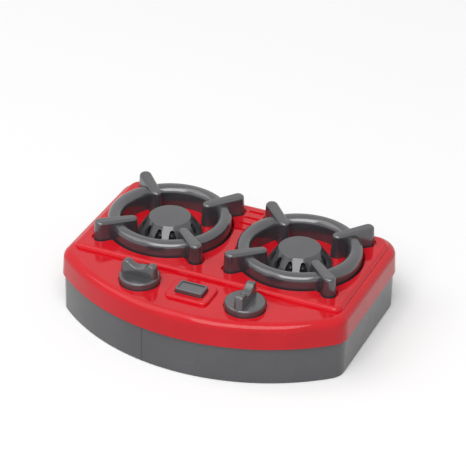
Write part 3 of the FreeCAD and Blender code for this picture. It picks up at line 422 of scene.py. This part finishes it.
def plastic(name, deep, pale, gloss, wave_per_m, grain_per_m, grain_share, bump_m,
            marks_amount, dust_amount, ior=1.5, cap_shadows_under=()):
    """A moulded plastic: deep and pale are its two tones, gloss its two roughness levels."""
    made = bpy.data.materials.new(name)
    made.use_nodes = True
    tree = made.node_tree
    tree.nodes.clear()
    out = add_node(tree, "ShaderNodeOutputMaterial")
    shader = add_node(tree, "ShaderNodeBsdfPrincipled")
    shader.inputs["IOR"].default_value = ior
    tie(tree, shader.outputs["BSDF"], out.inputs["Surface"])
    body = place_group(tree, skin, wave_size=wave_per_m, grain_size=grain_per_m,
                       grain_share=grain_share)
    hair = place_group(tree, marks, amount=marks_amount)
    specks = place_group(tree, dust, amount=dust_amount)
    tone = mix_tone(tree, body.outputs["Cloud"], deep, pale)
    level = ramp(tree, body.outputs["Gloss"], 0.0, 1.0, *gloss)
    # Painted shade under the named caps: the tone goes near black and the gloss duller, for the
    # caps' shadow.
    for node_name in cap_shadows_under:
        cap_shadow = painted_cap_shadow(tree, node_name)
        tone = mix_tone(tree, cap_shadow, tone, CAP_SHADOW_TONE)
        level = math_node(tree, "ADD", level, math_node(tree, "MULTIPLY", cap_shadow, CAP_SHADOW_DULLING))
    tie(tree, mix_tone(tree, specks.outputs["Dust"], tone, DUST_TONE),
        shader.inputs["Base Color"])
    level = math_node(tree, "ADD", level,
                      math_node(tree, "MULTIPLY", hair.outputs["Marks"], MARK_DULLING))
    level = math_node(tree, "ADD", level,
                      math_node(tree, "MULTIPLY", specks.outputs["Dust"], DUST_DULLING))
    tie(tree, level, shader.inputs["Roughness"])
    relief = add_node(tree, "ShaderNodeBump")
    relief.inputs["Strength"].default_value = 1.0
    relief.inputs["Distance"].default_value = bump_m
    tie(tree, body.outputs["Height"], relief.inputs["Height"])
    tie(tree, relief.outputs["Normal"], shader.inputs["Normal"])
    print("finish", name, "has", len(tree.nodes), "nodes")
    return made


# %% [markdown]
# ## The red top
# The top is glossy red plastic from a polished mould: it mirrors the arms over it and the
# lamp, with only a slow wave. The pigment is strong, so the two tones lie close.

# %% Red gloss plastic
# Under the two burner caps the red carries painted shade for the caps' shadow.
shell_red = plastic(
    "shell_red", deep=(0.60, 0.0035, 0.0115, 1.0), pale=(0.66, 0.0050, 0.0150, 1.0),
    gloss=(0.06, 0.11), wave_per_m=120.0, grain_per_m=2600.0, grain_share=0.03,
    bump_m=0.000045, marks_amount=0.35, dust_amount=0.08, ior=1.38,
    cap_shadows_under=("left_burner_cap", "right_burner_cap"))

# %% [markdown]
# ## The grey plastics
# The tray, the pan supports, the burner caps, the knobs and the button are one dark grey
# plastic, but their moulds were finished differently. The tray is a satin, the supports and
# knobs are smoother and draw sharper streaks, and the caps are nearly polished.

# %% Grey plastics
tray_grey = plastic(
    "tray_grey", deep=(0.082, 0.082, 0.088, 1.0), pale=(0.096, 0.096, 0.103, 1.0),
    gloss=(0.18, 0.26), wave_per_m=110.0, grain_per_m=3200.0, grain_share=0.12,
    bump_m=0.00004, marks_amount=0.30, dust_amount=0.10, ior=1.55)
support_grey = plastic(
    "support_grey", deep=(0.038, 0.037, 0.043, 1.0), pale=(0.049, 0.048, 0.055, 1.0),
    gloss=(0.15, 0.21), wave_per_m=170.0, grain_per_m=3400.0, grain_share=0.08,
    bump_m=0.000025, marks_amount=0.45, dust_amount=0.14, ior=1.85)
cap_grey = plastic(
    "cap_grey", deep=(0.064, 0.064, 0.071, 1.0), pale=(0.078, 0.078, 0.085, 1.0),
    gloss=(0.09, 0.15), wave_per_m=190.0, grain_per_m=3400.0, grain_share=0.07,
    bump_m=0.00003, marks_amount=0.40, dust_amount=0.12, ior=1.62)
knob_grey = plastic(
    "knob_grey", deep=(0.050, 0.050, 0.055, 1.0), pale=(0.062, 0.061, 0.067, 1.0),
    gloss=(0.16, 0.23), wave_per_m=190.0, grain_per_m=3400.0, grain_share=0.07,
    bump_m=0.00003, marks_amount=0.45, dust_amount=0.10, ior=1.80)
button_grey = plastic(
    "button_grey", deep=(0.056, 0.056, 0.061, 1.0), pale=(0.068, 0.067, 0.073, 1.0),
    gloss=(0.14, 0.20), wave_per_m=190.0, grain_per_m=3400.0, grain_share=0.06,
    bump_m=0.00003, marks_amount=0.45, dust_amount=0.08, ior=1.85)
jet_grey = plastic(
    "jet_grey", deep=(0.045, 0.045, 0.050, 1.0), pale=(0.056, 0.056, 0.062, 1.0),
    gloss=(0.08, 0.14), wave_per_m=220.0, grain_per_m=3600.0, grain_share=0.06,
    bump_m=0.00002, marks_amount=0.20, dust_amount=0.05, ior=1.5)
wheel_white = plastic(
    "wheel_white", deep=(0.70, 0.69, 0.65, 1.0), pale=(0.78, 0.77, 0.73, 1.0),
    gloss=(0.38, 0.50), wave_per_m=190.0, grain_per_m=3000.0, grain_share=0.10,
    bump_m=0.00003, marks_amount=0.20, dust_amount=0.05, ior=1.5)

# %% [markdown]
# ## The steel
# The screws are zinc-plated and the springs are bright drawn wire. Both are metals, so the
# colour is the colour of the reflection. A fine stretched noise gives the drawn lines, and
# a cloud gives the uneven plating.


# %% Screw and spring steel
DRAWN_STRETCH = 12.0
PLATING_MM = 2.2


def steel(name, dark, bright, gloss, lines_per_m, bump_m):
    """A bare metal with fine drawn lines and a cloudy plating."""
    made = bpy.data.materials.new(name)
    made.use_nodes = True
    tree = made.node_tree
    tree.nodes.clear()
    out = add_node(tree, "ShaderNodeOutputMaterial")
    shader = add_node(tree, "ShaderNodeBsdfPrincipled")
    shader.inputs["Metallic"].default_value = 1.0
    tie(tree, shader.outputs["BSDF"], out.inputs["Surface"])
    place = add_node(tree, "ShaderNodeTexCoord").outputs["Object"]
    stretched = add_node(tree, "ShaderNodeMapping")
    stretched.inputs["Scale"].default_value = (lines_per_m / DRAWN_STRETCH, lines_per_m, lines_per_m)
    tie(tree, place, stretched.inputs["Vector"])
    lines = add_node(tree, "ShaderNodeTexNoise")
    lines.inputs["Scale"].default_value = 1.0
    lines.inputs["Detail"].default_value = 2.0
    tie(tree, stretched.outputs["Vector"], lines.inputs["Vector"])
    cloud = ramp(tree, noise(tree, place, PLATING_MM, 3.0), 0.35, 0.65)
    tie(tree, mix_tone(tree, cloud, dark, bright), shader.inputs["Base Color"])
    tie(tree, ramp(tree, lines.outputs["Fac"], 0.3, 0.7, *gloss), shader.inputs["Roughness"])
    relief = add_node(tree, "ShaderNodeBump")
    relief.inputs["Strength"].default_value = 1.0
    relief.inputs["Distance"].default_value = bump_m
    tie(tree, lines.outputs["Fac"], relief.inputs["Height"])
    tie(tree, relief.outputs["Normal"], shader.inputs["Normal"])
    print("finish", name, "has", len(tree.nodes), "nodes")
    return made


screw_steel = steel("screw_steel", (0.40, 0.40, 0.41, 1.0), (0.52, 0.52, 0.53, 1.0),
                    (0.24, 0.42), 3500.0, 0.00001)
spring_steel = steel("spring_steel", (0.36, 0.36, 0.38, 1.0), (0.46, 0.46, 0.48, 1.0),
                     (0.18, 0.30), 4200.0, 0.000006)

# %% [markdown]
# ## Give each piece its finish
# The left and right pieces come from the same moulds, so a piece's finish follows from its
# name without the side. Each finish goes into the slots that the piece already has.

# %% Assign the finishes
FINISHES = {
    "base_tray": tray_grey, "top_shell": shell_red, "case_screws": screw_steel,
    "pan_support": support_grey, "burner_cap": cap_grey, "jet_ring": jet_grey,
    "pan_support_screws": screw_steel, "burner_screw": screw_steel, "knob": knob_grey,
    "click_wheel": wheel_white, "knob_screw": screw_steel, "click_spring": spring_steel,
    "ignition_button": button_grey, "button_spring": spring_steel,
}
for name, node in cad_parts.items():
    kind = name.removeprefix("left_").removeprefix("right_")
    for place in node.material_slots:
        place.material = FINISHES[kind]
    print(name, "takes", FINISHES[kind].name)

# %% [markdown]
# ## The full round of the rings
# The ring of a pan support is a stout bar with a full round top, and a broad streak of light
# runs along it. The solid's ring is a little slimmer on its inner side. A torus would be
# round all over, but this bar goes straight down into its bowl. So a section with two
# rounded corners is spun about the burner's axis. It lies over the solid's ring, whose
# sizes are measured halfway between two arms.

# %% Measure a ring
RING_EXTRA = 0.0012
RING_PROUD = 0.00004
BETWEEN_ARMS = math.radians(12.0)

ring_low, ring_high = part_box("left_pan_support")
ring_middle = (ring_low + ring_high) / 2
ring_points = []
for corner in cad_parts["left_pan_support"].data.vertices:
    from_axis = Vector((corner.co.x - ring_middle.x, corner.co.y - ring_middle.y))
    if abs(math.atan2(from_axis.y, from_axis.x)) < BETWEEN_ARMS:
        ring_points.append((from_axis.length, corner.co.z))
ring_outer = max(point[0] for point in ring_points) + RING_PROUD
ring_inner = min(point[0] for point in ring_points) - RING_EXTRA
ring_foot = min(point[1] for point in ring_points) + RING_PROUD
ring_top = max(point[1] for point in ring_points) + RING_PROUD
ring_sizes = (ring_inner, ring_outer, ring_foot, ring_top)
print("ring in mm", [round(1000 * size, 2) for size in ring_sizes])

# %% Spin the section of a ring
RING_STEPS = 128
CORNER_STEPS = 10
CORNER_SHARE = 0.495
RING_MERGE = 0.000002
SMOOTH_ANGLE = math.radians(40.0)

ring_breadth = ring_outer - ring_inner
ring_height = ring_top - ring_foot
bpy.ops.object.select_all(action="DESELECT")
bpy.ops.mesh.primitive_plane_add(
    size=1.0, rotation=(math.pi / 2, 0.0, 0.0),
    location=(ring_middle.x + (ring_inner + ring_outer) / 2, ring_middle.y,
              (ring_foot + ring_top) / 2))
left_round = bpy.context.object
left_round.name = "left_ring_round"
left_round.scale = (ring_breadth, ring_height, 1.0)
bpy.ops.object.transform_apply(location=True, rotation=True, scale=True)
for side in list(left_round.data.polygons) + list(left_round.data.edges):
    side.select = False
for corner in left_round.data.vertices:
    corner.select = corner.co.z > (ring_foot + ring_top) / 2
bpy.ops.object.mode_set(mode="EDIT")
bpy.ops.mesh.select_mode(type="VERT")
bpy.ops.mesh.bevel(offset=ring_breadth * CORNER_SHARE, segments=CORNER_STEPS, profile=0.5,
                   affect="VERTICES")
bpy.ops.mesh.select_all(action="SELECT")
bpy.ops.mesh.delete(type="ONLY_FACE")
bpy.ops.mesh.select_all(action="SELECT")
bpy.ops.mesh.spin(steps=RING_STEPS, angle=2 * math.pi, axis=(0.0, 0.0, 1.0),
                  center=(ring_middle.x, ring_middle.y, 0.0))
bpy.ops.mesh.select_all(action="SELECT")
bpy.ops.mesh.remove_doubles(threshold=RING_MERGE)
bpy.ops.mesh.normals_make_consistent(inside=False)
bpy.ops.object.mode_set(mode="OBJECT")
bpy.ops.object.shade_smooth_by_angle(angle=SMOOTH_ANGLE)
left_round.data.materials.append(support_grey)
left_round.select_set(False)
print("ring round has", len(left_round.data.polygons), "faces")

# %% Copy the ring round to the other burner
other_low, other_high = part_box("right_pan_support")
right_round = bpy.data.objects.new("right_ring_round", left_round.data.copy())
right_round.data.transform(Matrix.Translation((other_low + other_high) / 2 - ring_middle))
bpy.context.scene.collection.objects.link(right_round)
for ring_round in (left_round, right_round):
    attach(ring_round, "stove")
    print(ring_round.name, "rides on the stove")

# %% [markdown]
# ## The button's spring
# Under the button sits a coil of bright wire that gets shorter as the button is pressed. A
# solid can't shorten, so a pressed button would cut into it. The coil could be wound anew
# from a circle, but the solid already is a well-wound coil. So a copy of it, with its loose
# triangles merged, takes its place and rides on the stove, at its full length.

# %% Put a merged copy of the spring in its place
COIL_MERGE = 0.000001

coil_low, coil_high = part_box("button_spring")
coil_foot = (coil_low + coil_high) / 2
coil_foot.z = coil_low.z
coil = bpy.data.objects.new("button_coil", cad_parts["button_spring"].data.copy())
bpy.context.scene.collection.objects.link(coil)
bpy.ops.object.select_all(action="DESELECT")
coil.select_set(True)
bpy.context.view_layer.objects.active = coil
bpy.ops.object.mode_set(mode="EDIT")
bpy.ops.mesh.select_all(action="SELECT")
bpy.ops.mesh.remove_doubles(threshold=COIL_MERGE)
bpy.ops.object.mode_set(mode="OBJECT")
bpy.ops.object.shade_smooth_by_angle(angle=SMOOTH_ANGLE)
coil.data.materials.clear()
coil.data.materials.append(spring_steel)
coil.select_set(False)
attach(coil, "stove")
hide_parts("button_spring")
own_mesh(coil)
